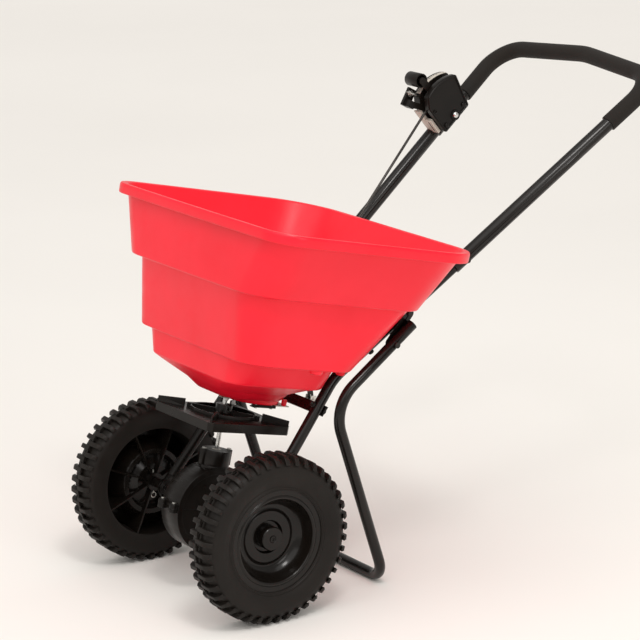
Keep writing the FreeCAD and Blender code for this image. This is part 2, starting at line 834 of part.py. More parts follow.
def axle_gear():
    """A crown gear whose teeth face the machine's left side, pinned to the axle."""
    count = int(float(size.gear_teeth))
    face = -(size.pinion_radius - 2.5)
    root = face - 4.0
    disc = rod(size.gear_radius, 5.0, (root - 5.0, 0, 0), X)
    hub = rod(14.0, 7.0, (root - 7.0, 0, 0), X)
    teeth = []
    for number in range(count):
        place = Placement(Vector(), Rotation(X, 360.0 * (number + 0.5) / count))
        low = (root - 0.5, -size.tooth_width / 2, size.gear_radius - 14)
        teeth.append(block(low, (4.5, size.tooth_width, 13.0), place))
    bores = [rod(size.axle_radius, 60, (-50, 0, 0), X), rod(size.pin_radius, 40, (GEAR_PIN_X, 0, -20), Z)]
    subpart("axle_gear", cut(fuse(disc, hub, *teeth), *bores), DECK)


def pinion():
    """A small gear whose rest position has one tooth in the crown gear's gap."""
    count = int(float(size.pinion_teeth))
    low, high = 54.0, 64.0
    core = rod(size.pinion_root, high - low, (0, 0, low))
    teeth = []
    for number in range(count):
        place = Placement(Vector(), Rotation(Z, 360.0 * number / count + 180))
        corner = (size.pinion_root - 3, -size.tooth_width / 2, low)
        reach = size.pinion_radius - size.pinion_root + 3
        teeth.append(block(corner, (reach, size.tooth_width, high - low), place))
    sleeve = rod(7.0, 12.0, (0, 0, high))
    gear = cut(fuse(core, sleeve, *teeth), rod(size.shaft_radius, 60, (0, 0, 30)))
    subpart("pinion", gear, DECK)


# ---------------------------------------------------------------- spinner


def spinner_shaft():
    bar = rod(size.shaft_radius, size.shaft_top - size.shaft_bottom, (0, 0, size.shaft_bottom))
    hole = rod(size.pin_radius, 40, (-20, 0, SPINNER_PIN), X)
    subpart("spinner_shaft", cut(bar, hole), DECK)
    subpart("spinner_pin", rod(size.pin_radius, 27.0, (-13.5, 0, SPINNER_PIN), X), DECK)


SPINNER_PIN = 182.0


def spinner():
    """A four-cornered plate with a turned-down edge and a standing vane at each corner."""
    count = int(float(size.vane_count))
    radius = float(size.spinner_radius)
    wall = size.spinner_wall
    top = size.spinner_top
    rim_low = top - size.spinner_rim
    turn = float(size.spinner_turn)

    def corners(reach):
        points = []
        for number in range(count):
            middle = math.radians(turn + 360.0 * number / count)
            for offset in (-2.5, 2.5):
                angle = middle + math.radians(offset)
                points.append((reach * math.cos(angle), reach * math.sin(angle)))
        return points

    outer = plate(corners(radius), size.spinner_rim, start=rim_low)
    inner = plate(corners(radius - 2 * float(wall)), size.spinner_rim - wall, start=rim_low)
    solid = [cut(outer, inner)]
    hub = rod(15.0, 34.0, (0, 0, rim_low))
    solid.append(hub)
    for number in range(count):
        place = Placement(Vector(), Rotation(Z, turn + 360.0 * number / count))
        reach = radius * math.cos(math.radians(2.5)) - 0.5
        begin = reach - 50.0
        tab = plate([(begin, -1.0), (reach, -1.0), (reach, size.vane_tip_height), (begin, size.vane_height)], wall, -1.5)
        tab.Placement = place.multiply(Placement(Vector(0, 0, float(top)), Rotation(X, 90)))
        solid.append(tab)
        solid.append(block((10.0, -1.5, top - 1), (reach - 64.0, wall, size.vane_inner_height + 1), place))
    pin = rod(size.pin_radius, 40, (-20, 0, SPINNER_PIN), X)
    subpart("spinner", cut(fuse(*solid), rod(size.shaft_radius, 80, (0, 0, 140)), pin), DECK)


def agitator():
    """A hub with three bent-up fingers that turns in the bottom of the hopper."""
    hub = rod(9.0, 14.0, (0, 0, 222.0))
    fingers = []
    for number in range(3):
        angle = math.radians(30 + 120 * number)
        ahead = Vector(math.cos(angle), math.sin(angle), 0.5)
        fingers.append(rod(2.5, 28.0, (0, 0, 228.0), ahead))
    subpart("agitator", cut(fuse(hub, *fingers), rod(size.shaft_radius, 60, (0, 0, 200))), DECK)


# ---------------------------------------------------------------- gate and its linkage

GATE_TOP = 202.7
GATE_SHAFT = (205.6, 248.0)         # deck (y, z) of the cross shaft that moves the gate
GATE_SHAFT_RADIUS = 4.0
GATE_ARM_X = -46.5                  # the arm that moves the plate
ROD_ARM_X = -99.0                   # the arm that the control rod pulls
ROD_SLOPE = 57.66                   # the rod's rise above the deck, in degrees
ROD_BOTTOM_X = -105.0
ROD_TOP_X = -181.0


def hung(pivot, reach, turn):
    """The (y, z) place of a pin below a pivot, swung back by an angle, on a line at a fixed distance."""
    angle = math.radians(float(turn))
    return pivot[0] + float(reach) * math.tan(angle), pivot[1] - float(reach)


def rod_line(pivot):
    """The (y, z) point where a crank at the resting angle carries the rod's pin."""
    slope = math.radians(ROD_SLOPE)
    across = (-math.sin(slope), math.cos(slope))
    along = (math.cos(slope), math.sin(slope))
    back = float(size.lever_arm) * math.tan(math.radians(float(size.lever_swing)))
    return tuple(pivot[i] + across[i] * float(size.lever_arm) - along[i] * back for i in (0, 1))


def slot(pivot, pin, x, wall, radius):
    """A cutter for a slot that runs along a crank, wider than its pin and a little longer."""
    reach = Vector(0, pin[0] - pivot[0], pin[1] - pivot[1])
    ahead = Vector(reach).normalize()
    middle = Vector(0, pin[0], pin[1]) - ahead * 1.5
    first = middle - ahead * 3.2
    second = middle + ahead * 3.2
    return strap((first.y, first.z), (second.y, second.z), x - 1, wall + 2, radius + 0.5)


def brace_place():
    """A frame on the middle of the lower tube runs, with +Y square to their backs and +Z up along them."""
    bend = DECK.inverse().multVec(machine(0, size.frame_bend_y, size.frame_bend_z))
    lean = math.degrees(math.atan2(bend.y, bend.z))
    spot = bend * (222.0 / bend.z)
    return Placement(spot, Rotation(X, -lean))


def brace_x():
    """How far out the tubes are where the brace crosses them."""
    bend = DECK.inverse().multVec(machine(0, size.frame_bend_y, size.frame_bend_z))
    share = 222.0 / bend.z
    return float(size.frame_foot_x) * (1 - share) + float(size.frame_bend_x) * share


def cross_brace():
    """A flat bar across the backs of the frame tubes, and the bracket on it that holds the gate's shaft."""
    place = DECK.multiply(brace_place())
    reach = brace_x()
    face = float(size.frame_radius) + 0.2
    wall = 4.0
    holes = [rod(size.bolt_radius, 60, (side * reach, -30, 0), Y) for side in SIDES]
    mount_holes = [rod(size.screw_radius, 40, (x, 0, 0), Y) for x in BRACKET_SCREWS]
    bar = block((-reach - 9, face, -10), (reach * 2 + 18, wall, 20))
    subpart("cross_brace", cut(bar, *holes, *mount_holes), place)
    bolts = [bolt((side * reach, face + wall, 0), -Y, 34) for side in SIDES]
    for side in SIDES:
        keep_nut((side * reach, -face, 0), -Y, place)
    subpart("brace_bolts", group(*bolts), place)
    screws = [screw((x, face + wall + 2.5, 0), -Y, 12) for x in BRACKET_SCREWS]
    subpart("bracket_screws", group(*screws), place)
    base = block((-97.0, face + wall, -10), (42.0, 2.5, 20), brace_place())
    start = brace_place().multVec(Vector(0, face + wall + 6, 0))
    ears = [strap((start.y, start.z), GATE_SHAFT, x, 2.5, 8.0) for x in BRACKET_EARS]
    bore = rod(GATE_SHAFT_RADIUS + float(size.running_gap), 120, (-120, *GATE_SHAFT), X)
    holes = [rod(size.screw_radius, 40, (x, 0, 0), Y) for x in BRACKET_SCREWS]
    clear = block((-200, -30, -40), (400, 30 + face + wall, 80))
    for tool in (*holes, clear):
        tool.Placement = brace_place().multiply(tool.Placement)
    subpart("gate_bracket", cut(fuse(base, *ears), bore, *holes, clear), DECK)


BRACKET_EARS = (-64.0, -90.0)
BRACKET_SCREWS = (-70.0, -82.0)


def gate():
    """A sliding plate under the outlet boss, and the two rails that it runs in."""
    wall = size.gate_wall
    half = float(size.gate_width) / 2
    low = GATE_TOP - float(wall)
    pin = hung(GATE_SHAFT, size.gate_arm, size.lever_swing)
    blade = block((-half, 38.0, low), (half * 2, 74.0, wall))
    tongue = block((-58.0, 110.0, low), (26.0, pin[0] + 13 - 110.0, wall))
    ears = [block((x, pin[0] - 6, low), (3.0, 12.0, pin[1] + 5 - low)) for x in (-54.0, -39.0)]
    windows = [rod(size.outlet_hole, 20, (x, y, low - 5)) for x, y in OUTLETS]
    gap = block((-50.0, pin[0] - 9, low - 5), (10.0, 18.0, 10.0))
    bore = rod(size.pin_radius, 30, (-60.0, *pin), X)
    subpart("shutoff_plate", cut(fuse(blade, tongue, *ears), *windows, gap, bore), DECK)
    subpart("gate_pin", rod(size.pin_radius, 21.0, (-55.5, *pin), X), DECK)
    rails = []
    screws = []
    for side in SIDES:
        inner = half + 0.4
        post = block((inner if side == LEFT else -inner - 7, 28.0, low - 2.5), (7.0, 50.0, 203.0 - low + 2.5))
        ledge = block((inner - 4 if side == LEFT else -inner - 7, 28.0, low - 2.5), (11.0, 50.0, 2.0))
        holes = [rod(1.5, 30, (side * (inner + 3.5), y, 190)) for y in RAIL_SCREWS]
        rails.append(cut(fuse(post, ledge), *holes))
        for y in RAIL_SCREWS:
            screws.append(fastener((side * (inner + 3.5), y, low - 2.5), Z, 9.0, 1.5, 2.9, 1.6))
    subpart("gate_rails", group(*rails), DECK)
    subpart("rail_screws", group(*screws), DECK)


RAIL_SCREWS = (36.0, 70.0)
RAIL_MIDDLE = 3.9                   # from the plate's edge to the middle of a rail


def gate_shaft():
    """A cross shaft with an arm for the plate and an arm for the control rod."""
    shaft = rod(GATE_SHAFT_RADIUS, 76.0, (-111.0, *GATE_SHAFT), X)
    pin = hung(GATE_SHAFT, size.gate_arm, size.lever_swing)
    wall = 3.0
    solids = [shaft, rod(8.0, 9.0, (GATE_ARM_X - 3.0, *GATE_SHAFT), X), rod(8.0, 7.0, (ROD_ARM_X, *GATE_SHAFT), X)]
    tools = []
    for spot, x, radius in (
            (pin, GATE_ARM_X, size.pin_radius), (rod_line(GATE_SHAFT), ROD_ARM_X, size.rod_radius - 0.5)):
        reach = Vector(0, spot[0] - GATE_SHAFT[0], spot[1] - GATE_SHAFT[1])
        tip = reach * (1 + 1.0 / reach.Length)
        solids.append(strap(GATE_SHAFT, (GATE_SHAFT[0] + tip.y, GATE_SHAFT[1] + tip.z), x, wall, 5.5))
        tools.append(slot(GATE_SHAFT, spot, x, wall, radius))
    subpart("gate_shaft", cut(fuse(*solids), *tools), DECK)


def control_rod():
    """A long rod whose two bent ends sit in the slots of the cranks above and below."""
    low = (ROD_BOTTOM_X, *rod_line(GATE_SHAFT))
    pivot = DECK.inverse().multVec(machine(0, size.pivot_y, size.pivot_z))
    high = (ROD_TOP_X, *rod_line((pivot.y, pivot.z)))
    ahead = Vector(*high) - Vector(*low)
    bar = rod(size.rod_radius, ahead.Length, low, ahead)
    bends = [make("Sphere", aim(spot, Z), Radius=size.rod_radius) for spot in (low, high)]
    foot = rod(size.rod_radius - 0.5, 12.0, low, X)
    top = rod(size.rod_radius - 0.5, 9.0, high, X)
    subpart("control_rod", fuse(bar, *bends, foot, top), DECK)


# ---------------------------------------------------------------- control dial on the handle

DIAL = Placement(machine(0, SIZES["pivot_y"], SIZES["pivot_z"]), Rotation())
DIAL_CORNERS = ((-1.3, 79.0), (31.4, 16.6), (-23.7, -32.9), (-65.3, 16.2))
DIAL_ARC_END = 150.0
CASE_SCREWS = ((18.5, 18.3), (-21.5, -18.0))
STOP_TURN = 151.3


def dial_outline(inset=0.0):
    """A sector: an arc about the pivot, closed by straight sides with rounded corners."""
    radius = float(size.dial_radius)
    first, second, third, fourth = [Vector(0, *corner) for corner in DIAL_CORNERS]
    arc_end = Vector(0, *polar(radius, DIAL_ARC_END))
    arc_middle = Vector(0, *polar(radius, (90 + DIAL_ARC_END) / 2))
    edges = [
        Part.Arc(first, arc_middle, arc_end).toShape(),
        Part.LineSegment(arc_end, fourth).toShape(),
        Part.LineSegment(fourth, third).toShape(),
        Part.LineSegment(third, second).toShape(),
        Part.LineSegment(second, first).toShape(),
    ]
    wire = Part.Wire(edges)
    if inset:
        wire = wire.makeOffset2D(-inset, 2)
    return wire


def sector(x, depth, inset=0.0, rounding=0.0):
    """A solid with the dial's outline, from x towards the machine's right side."""
    face = Part.Face(dial_outline(inset))
    face.translate(Vector(float(x), 0, 0))
    solid = face.extrude(Vector(-float(depth), 0, 0))
    if rounding:
        edges = []
        for edge in solid.Edges:
            if abs(edge.Length - float(depth)) < 0.01 and abs(edge.tangentAt(0).x) > 0.99:
                edges.append(edge)
        solid = solid.makeFillet(rounding, edges)
    return shape(solid)


def dial():
    """Two cupped cases either side of the levers' gap, fixed beside the handle tube."""
    wall = size.dial_wall
    near, middle = size.dial_inner_x, size.dial_middle_x
    outer, far = size.dial_outer_x, size.dial_far_x
    bolt_hole = rod(size.bolt_radius + 0.05, 60, (-200, 0, 0), X)
    shell = cut(sector(near, near - middle, 0, 5.0), sector(near - wall, near - middle, wall, 2.5),
                sector(near + 1, 1.8, 5.0, 2.0))
    posts = [rod(4.5, float(near) - 1.5 - float(outer), (outer, *spot), X) for spot in CASE_SCREWS]
    boss = rod(8.0, float(near) - 1.5 + 173.2, (-173.2, 0, 0), X)
    screw_holes = [rod(size.screw_radius, 60, (-200, *spot), X) for spot in CASE_SCREWS]
    subpart("dial_case_left", cut(fuse(shell, *posts, boss), bolt_hole, *screw_holes), DIAL)
    cup = cut(sector(outer, outer - far, 0, 5.0), sector(outer - wall, outer - far, wall, 2.5))
    bosses = [rod(4.5, 8.0, (outer - 8, *spot), X) for spot in CASE_SCREWS[:1]]
    start = DIAL.inverse().multVec(side_point(RIGHT, 200.0))
    ahead = DIAL.inverse().multVec(side_point(RIGHT, 500.0)) - start
    channel = rod(size.handle_radius + 0.1, ahead.Length, start, ahead)
    subpart("dial_case_right", cut(fuse(cup, *bosses), bolt_hole, *screw_holes, channel), DIAL)
    case_screws = [screw((near - 0.8, *spot), -X, 31.0) for spot in CASE_SCREWS]
    subpart("case_screws", group(*case_screws), DIAL)
    head = common(make("Sphere", aim((near - 3.5, 0, 0), X), Radius=7.5),
                  rod(7.5, 6.0, (near + 0.05, 0, 0), X))
    subpart("pivot_bolt", fuse(head, rod(size.bolt_radius, 34.5, (-194.2, 0, 0), X)), DIAL)
    keep_nut((outer - wall, 0, 0), -X, DIAL)
    spacer = pipe(7.0, size.bolt_radius + 0.05, 7.6, (-184.3, 0, 0), X)
    subpart("pivot_spacer", spacer, DIAL)
    strip = common(pipe(size.dial_radius + 0.9, size.dial_radius + 0.1, 12.5, (-200.0, 0, 0), X),
                   block((-210, -66.0, 20.0), (30, 63.0, 80.0)))
    subpart("dial_scale", strip, DIAL)
    clamp = pipe(size.handle_radius + 2.6, size.handle_radius + 0.05, 12.0,
                 start + ahead * 0.43, ahead)
    clamp_gap = sector(outer + 0.2, outer - far + 0.4, -0.3, 0)
    subpart("dial_clamp", cut(clamp, clamp_gap), DIAL)


def rate_stop():
    """An arm about the same pivot, with a block that the lever meets, and the wing nut that holds it."""
    reach = 81.5
    place = Placement(Vector(), Rotation(X, STOP_TURN - 90))
    hub = rod(9.0, 2.0, (-186.5, 0, 0), X)
    arm = strap((0, 0), polar(86.0, STOP_TURN + 13), -186.5, 2.0, 6.0)
    rear = block((-206.0, -27.0, reach), (7.0, 37.0, 18.0), place)
    front = block((-206.0, -27.0, reach), (21.5, 14.0, 14.0), place)
    spot = polar(93.0, STOP_TURN)
    pivot_hole = rod(size.bolt_radius + size.running_gap, 60, (-200, 0, 0), X)
    screw_hole = rod(size.screw_radius, 60, (-230, *spot), X)
    subpart("rate_stop", cut(fuse(hub, arm, rear, front), pivot_hole, screw_hole), DIAL)
    subpart("stop_screw", fuse(rod(size.screw_radius, 21.0, (-206.0, *spot), X),
                               rod(5.0, 2.0, (-208.0, *spot), X)), DIAL)
    turn = Placement(Vector(0, *spot), Rotation(X, 68.0))
    collar = rod(4.6, 5.0, (-198.7, *spot), X)
    flange = rod(6.2, 1.2, (-198.7, *spot), X)
    wings = [block((-196.5, -1.0, 3.0 if side == LEFT else -12.0), (6.0, 2.0, 9.0), turn) for side in SIDES]
    thread = rod(size.screw_radius + size.running_gap, 30, (-210, *spot), X)
    subpart("wing_nut", cut(fuse(collar, flange, *wings), thread), DIAL)


def control_lever():
    """A plate that turns on the pivot: one arm carries the knob and a short one moves the rod."""
    wall = 3.0
    x = -176.5
    knob = polar(size.knob_reach, size.knob_turn)
    inverse = DIAL.inverse().multiply(DECK)
    pivot = DECK.inverse().multVec(machine(0, size.pivot_y, size.pivot_z))
    high = inverse.multVec(Vector(0, *rod_line((pivot.y, pivot.z))))
    pin = (high.y, high.z)
    tip = Vector(0, *pin) * (1 + 1.5 / Vector(0, *pin).Length)
    hub = rod(10.0, wall, (x, 0, 0), X)
    stem = rod(3.0, 32.0, (x - 32.0, *knob), X)
    plate_solid = fuse(hub, strap((0, 0), knob, x, wall, 7.0), strap((0, 0), (tip.y, tip.z), x, wall, 6.5), stem)
    bore = rod(size.bolt_radius + size.running_gap, 60, (-200, 0, 0), X)
    subpart("control_lever", cut(plate_solid, bore, slot((0, 0), pin, x, wall, size.rod_radius - 0.5)), DIAL)
    length = size.knob_length
    body = rod(size.knob_radius, length, (-178.0 - length, *knob), X)
    hollow = rod(size.knob_radius - 2.5, 24.0, (-178.0 - 20.0, *knob), X)
    seat = rod(3.0, 60.0, (-178.0 - 30.5, *knob), X)
    subpart("lever_knob", cut(body, hollow, seat), DIAL)


# ---------------------------------------------------------------- build

wheels()
axle()
frame()
handle()
stand()
hopper()
hopper_fasteners()
gearbox()
axle_gear()
pinion()
spinner_shaft()
spinner()
agitator()
cross_brace()
gate()
gate_shaft()
control_rod()
dial()
rate_stop()
control_lever()
subpart("frame_nuts", group(*frame_nuts))
doc.recompute()

for thing in doc.Objects:
    state = " ".join(thing.State)
    if "Invalid" in state or "Error" in state:
        raise RuntimeError(thing.Label + " failed: " + state)
os.makedirs("parts", exist_ok=True)
for thing in subparts:
    if thing.Shape.isNull() or not thing.Shape.isValid():
        raise RuntimeError(thing.Label + " has no valid shape")
    thing.Shape.exportStep("parts/" + thing.Label + ".step")
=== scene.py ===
import json
import math

import bmesh
import bpy
from mathutils import Matrix, Vector


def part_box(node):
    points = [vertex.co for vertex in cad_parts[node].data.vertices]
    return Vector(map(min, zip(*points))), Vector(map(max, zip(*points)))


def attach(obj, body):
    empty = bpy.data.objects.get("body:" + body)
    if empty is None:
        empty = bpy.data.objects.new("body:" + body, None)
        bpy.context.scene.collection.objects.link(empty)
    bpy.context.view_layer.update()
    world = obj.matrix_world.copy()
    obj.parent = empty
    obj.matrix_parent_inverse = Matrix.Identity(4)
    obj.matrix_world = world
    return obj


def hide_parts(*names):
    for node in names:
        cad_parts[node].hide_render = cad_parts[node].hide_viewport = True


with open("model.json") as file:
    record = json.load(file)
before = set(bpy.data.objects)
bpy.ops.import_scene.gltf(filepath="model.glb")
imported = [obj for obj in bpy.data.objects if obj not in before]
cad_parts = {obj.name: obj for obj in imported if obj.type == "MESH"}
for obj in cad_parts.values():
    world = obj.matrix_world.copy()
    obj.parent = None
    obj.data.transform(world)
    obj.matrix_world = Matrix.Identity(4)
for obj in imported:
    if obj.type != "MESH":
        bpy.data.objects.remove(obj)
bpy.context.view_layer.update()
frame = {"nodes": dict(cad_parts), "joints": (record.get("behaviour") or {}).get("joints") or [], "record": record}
NODES = frame["nodes"]
scene = bpy.context.scene

# The scene is in metres. +Z is up, the front faces -Y and +X is the machine's left side.
# Profiles, levels and the sizes beside them are in millimetres, and MM turns them into metres.
MM = 0.001
JOINTS = {joint["name"]: joint for joint in frame["joints"]}
AXLE = (Vector(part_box("axle")[0]) + Vector(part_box("axle")[1])) / 2
DECK_TILT = math.radians(12.277)      # the hopper and the spinner lean forward together
DECK = Matrix.Translation(AXLE) @ Matrix.Rotation(-DECK_TILT, 4, "X")
LEFT, RIGHT = 1, -1

CAMERA_PLACE = (3.9839, -2.8374, 1.6989)
CAMERA_AZIMUTH = 55.647
CAMERA_ELEVATION = 14.336
CAMERA_LENS = 152.87
CAMERA_SENSOR = 36.0

# ---------------------------------------------------------------- materials


def material(name, build):
    """A node material: build(nodes, links, shader) sets it up."""
    item = bpy.data.materials.new(name)
    item.use_nodes = True
    nodes, links = item.node_tree.nodes, item.node_tree.links
    build(nodes, links, nodes["Principled BSDF"])
    return item


def noise(nodes, links, scale, detail=4.0, stretch=(1, 1, 1)):
    """Noise in object space, stretched along an axis."""
    place = nodes.new("ShaderNodeTexCoord")
    mapping = nodes.new("ShaderNodeMapping")
    mapping.inputs["Scale"].default_value = stretch
    texture = nodes.new("ShaderNodeTexNoise")
    texture.inputs["Scale"].default_value = scale
    texture.inputs["Detail"].default_value = detail
    links.new(place.outputs["Object"], mapping.inputs["Vector"])
    links.new(mapping.outputs["Vector"], texture.inputs["Vector"])
    return texture


def ramp(nodes, links, source, low, high, start=0.35, end=0.65):
    """Two colours, or two grey levels, chosen by a texture."""
    item = nodes.new("ShaderNodeValToRGB")
    for element, value, place in zip(item.color_ramp.elements, (low, high), (start, end)):
        element.color = (*value, 1) if isinstance(value, tuple) else (value, value, value, 1)
        element.position = place
    links.new(source, item.inputs["Fac"])
    return item.outputs["Color"]


def bump(nodes, links, shader, height, strength, distance, under=None):
    """Relief from a texture, on top of an earlier bump if one is given."""
    item = nodes.new("ShaderNodeBump")
    item.inputs["Strength"].default_value = strength
    item.inputs["Distance"].default_value = distance
    links.new(height, item.inputs["Height"])
    if under is not None:
        links.new(under.outputs["Normal"], item.inputs["Normal"])
    links.new(item.outputs["Normal"], shader.inputs["Normal"])
    return item


def surface(name, dark, light, rough_low, rough_high, grain, grain_depth, metal=0.0,
            stretch=(1, 1, 1), mottle=9.0, coat=0.0, scatter=0.0, specular=0.5):
    """A moulded, painted or plated surface: mottled colour, uneven gloss and a fine grain."""

    def build(nodes, links, shader):
        cloud = noise(nodes, links, mottle, 5.0)
        colour = ramp(nodes, links, cloud.outputs["Fac"], dark, light)
        links.new(colour, shader.inputs["Base Color"])
        smear = noise(nodes, links, mottle * 3.1, 6.0, stretch)
        gloss = ramp(nodes, links, smear.outputs["Fac"], rough_low, rough_high)
        links.new(gloss, shader.inputs["Roughness"])
        fine = noise(nodes, links, grain, 3.0, stretch)
        first = bump(nodes, links, shader, fine.outputs["Fac"], 0.5, grain_depth)
        wave = noise(nodes, links, mottle * 1.7, 2.0)
        bump(nodes, links, shader, wave.outputs["Fac"], 0.25, grain_depth * 6, first)
        shader.inputs["Metallic"].default_value = metal
        shader.inputs["Specular IOR Level"].default_value = specular
        shader.inputs["Coat Weight"].default_value = coat
        shader.inputs["Coat Roughness"].default_value = 0.18
        shader.inputs["Subsurface Weight"].default_value = scatter
        shader.inputs["Subsurface Scale"].default_value = 0.004

    return material(name, build)


RED = surface(
    "red_hopper_plastic", (0.90, 0.006, 0.024), (0.95, 0.010, 0.031), 0.28, 0.40, 1500, 0.00006,
    scatter=0.03, specular=0.38)
RUBBER = surface(
    "tyre_rubber", (0.0075, 0.0057, 0.0045), (0.012, 0.0092, 0.0073), 0.44, 0.58, 900, 0.00012,
    specular=0.2)
WHEEL = surface(
    "wheel_plastic", (0.005, 0.0038, 0.003), (0.0085, 0.0064, 0.005), 0.15, 0.24, 1300, 0.00004,
    specular=0.26)
BLACK = surface(
    "black_plastic", (0.005, 0.0038, 0.003), (0.0095, 0.0072, 0.0057), 0.26, 0.40, 1200, 0.00008,
    specular=0.22)
PAINT = surface(
    "black_powder_coat", (0.006, 0.0048, 0.004), (0.010, 0.008, 0.0066), 0.18, 0.28, 1700, 0.00006,
    coat=0.08, specular=0.26)
OXIDE = surface(
    "black_oxide_steel", (0.030, 0.027, 0.025), (0.055, 0.050, 0.046), 0.28, 0.44, 1400, 0.00005,
    metal=0.85)
ZINC = surface(
    "zinc_plate", (0.46, 0.45, 0.42), (0.66, 0.65, 0.61), 0.22, 0.38, 900, 0.00005,
    metal=1.0, stretch=(1, 6, 1), mottle=60.0)
BRIGHT = surface(
    "bright_steel", (0.60, 0.59, 0.57), (0.76, 0.75, 0.73), 0.14, 0.26, 1100, 0.00004,
    metal=1.0, stretch=(1, 1, 9), mottle=50.0)
PALE = surface("pale_plastic", (0.50, 0.45, 0.39), (0.60, 0.55, 0.48), 0.38, 0.50, 1300, 0.00006)
NYLON = surface(
    "natural_nylon", (0.62, 0.59, 0.51), (0.72, 0.69, 0.61), 0.34, 0.46, 1200, 0.00006,
    scatter=0.1)


def foam_build(nodes, links, shader):
    """Closed-cell foam: small cells over slow dents, dull and slightly soft at its edges."""
    cloud = noise(nodes, links, 14.0, 5.0)
    colour = ramp(
        nodes, links, cloud.outputs["Fac"], (0.010, 0.0078, 0.0062), (0.016, 0.0126, 0.010))
    links.new(colour, shader.inputs["Base Color"])
    place = nodes.new("ShaderNodeTexCoord")
    cells = nodes.new("ShaderNodeTexVoronoi")
    cells.inputs["Scale"].default_value = 950.0
    links.new(place.outputs["Object"], cells.inputs["Vector"])
    first = bump(nodes, links, shader, cells.outputs["Distance"], 0.6, 0.00035)
    soft = noise(nodes, links, 60.0, 3.0)
    bump(nodes, links, shader, soft.outputs["Fac"], 0.35, 0.0008, first)
    gloss = ramp(nodes, links, cloud.outputs["Fac"], 0.72, 0.86)
    links.new(gloss, shader.inputs["Roughness"])
    shader.inputs["Sheen Weight"].default_value = 0.05
    shader.inputs["Specular IOR Level"].default_value = 0.25
    shader.inputs["Sheen Roughness"].default_value = 0.5


FOAM = material("grip_foam", foam_build)

SLOTS = {
    "hopper_plastic": RED, "tyre_rubber": RUBBER, "wheel_plastic": WHEEL, "black_plastic": BLACK,
    "pale_plastic": PALE, "gear_plastic": NYLON, "painted_steel": PAINT, "black_steel": OXIDE,
    "zinc_steel": ZINC, "bright_steel": BRIGHT, "foam": FOAM,
}
SLOT_OF = {item["node"]: item["material_slot"] for item in frame["record"]["subparts"]}

# ---------------------------------------------------------------- mesh building


def from_bmesh(name, work, matrix=None):
    """The finished mesh of a bmesh, moved into place first if a matrix is given."""
    if matrix is not None:
        work.transform(matrix)
    bmesh.ops.recalc_face_normals(work, faces=work.faces)
    mesh = bpy.data.meshes.new(name)
    work.to_mesh(mesh)
    work.free()
    return mesh


def new_piece(name, body, slot, mesh, smooth=34):
    """A finished mesh as a named piece on a CAD body, with its slot's material."""
    mesh.validate()
    piece = bpy.data.objects.new(name, mesh)
    scene.collection.objects.link(piece)
    mesh.shade_smooth()
    mesh.set_sharp_from_angle(angle=math.radians(smooth))
    mesh.materials.append(SLOTS[slot])
    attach(piece, body)
    return piece


def built(name, body, slot, work, matrix, smooth=34):
    """A bmesh, put in place and made into a piece in one step."""
    return new_piece(name, body, slot, from_bmesh(name, work, matrix), smooth)


def loft(work, rings, loop=False):
    """Quads between rings of points. The ends are closed, or the last ring joins the first."""
    rows = [[work.verts.new(point) for point in ring] for ring in rings]
    count = len(rows[0])
    pairs = list(zip(rows, rows[1:]))
    if loop:
        pairs.append((rows[-1], rows[0]))
    for low, high in pairs:
        for index in range(count):
            after = (index + 1) % count
            work.faces.new((low[index], low[after], high[after], high[index]))
    if not loop:
        work.faces.new(rows[0][::-1])
        work.faces.new(rows[-1])


def corner_curve(start, corner, end, steps):
    """Points along the curve that rounds a corner off, from start to end."""
    points = []
    for step in range(steps + 1):
        t = step / steps
        points.append(tuple(
            s * (1 - t) ** 2 + 2 * c * t * (1 - t) + e * t ** 2
            for s, c, e in zip(start, corner, end)))
    return points


def softened(points, radius, steps=3):
    """The same line with its corners rounded. A point's first two numbers set how far."""
    result = [tuple(points[0])]
    for before, corner, after in zip(points, points[1:], points[2:]):
        reach = []
        for other in (before, after):
            span = math.dist(corner[:2], other[:2])
            reach.append(min(radius, span * 0.45) / span if span > 1e-9 else 0.0)
        start = [c + (b - c) * reach[0] for c, b in zip(corner, before)]
        end = [c + (a - c) * reach[1] for c, a in zip(corner, after)]
        result += corner_curve(start, corner, end, steps)
    result.append(tuple(points[-1]))
    return result


def section(corners, radius, steps):
    """A closed section with soft corners. Its first corner is cut straight across."""
    return softened(corners + corners[:1], radius, steps)[1:-1]


def turned(work, profile, count):
    """A ring about +Z, from a closed section of (radius, height) points."""
    rings = []
    for step in range(count):
        turn = 2 * math.pi * step / count
        rings.append([(r * math.cos(turn) * MM, r * math.sin(turn) * MM, h * MM) for r, h in profile])
    loft(work, rings, loop=True)


def level_ring(x, y, height, wide, deep, count):
    """An ellipse of points at one height."""
    ring = []
    for step in range(count):
        turn = 2 * math.pi * step / count
        ring.append(((x + wide * math.cos(turn)) * MM, (y + deep * math.sin(turn)) * MM, height * MM))
    return ring


def side_ring(x, y, z, radius, count):
    """A circle of points that faces sideways, at one distance along X."""
    ring = []
    for step in range(count):
        turn = 2 * math.pi * step / count
        ring.append((x * MM, (y + radius * math.cos(turn)) * MM, (z + radius * math.sin(turn)) * MM))
    return ring


# ---------------------------------------------------------------- tyres and rims

LUG_COUNT = 44
TREAD_RADIUS = 152.4
CARCASS_RADIUS = 144.6
LUG_FOOT = 141.0
TYRE_IN = 175.8         # the tyre's inner side, measured outboard from the middle of the axle
TYRE_SEGMENTS = 184

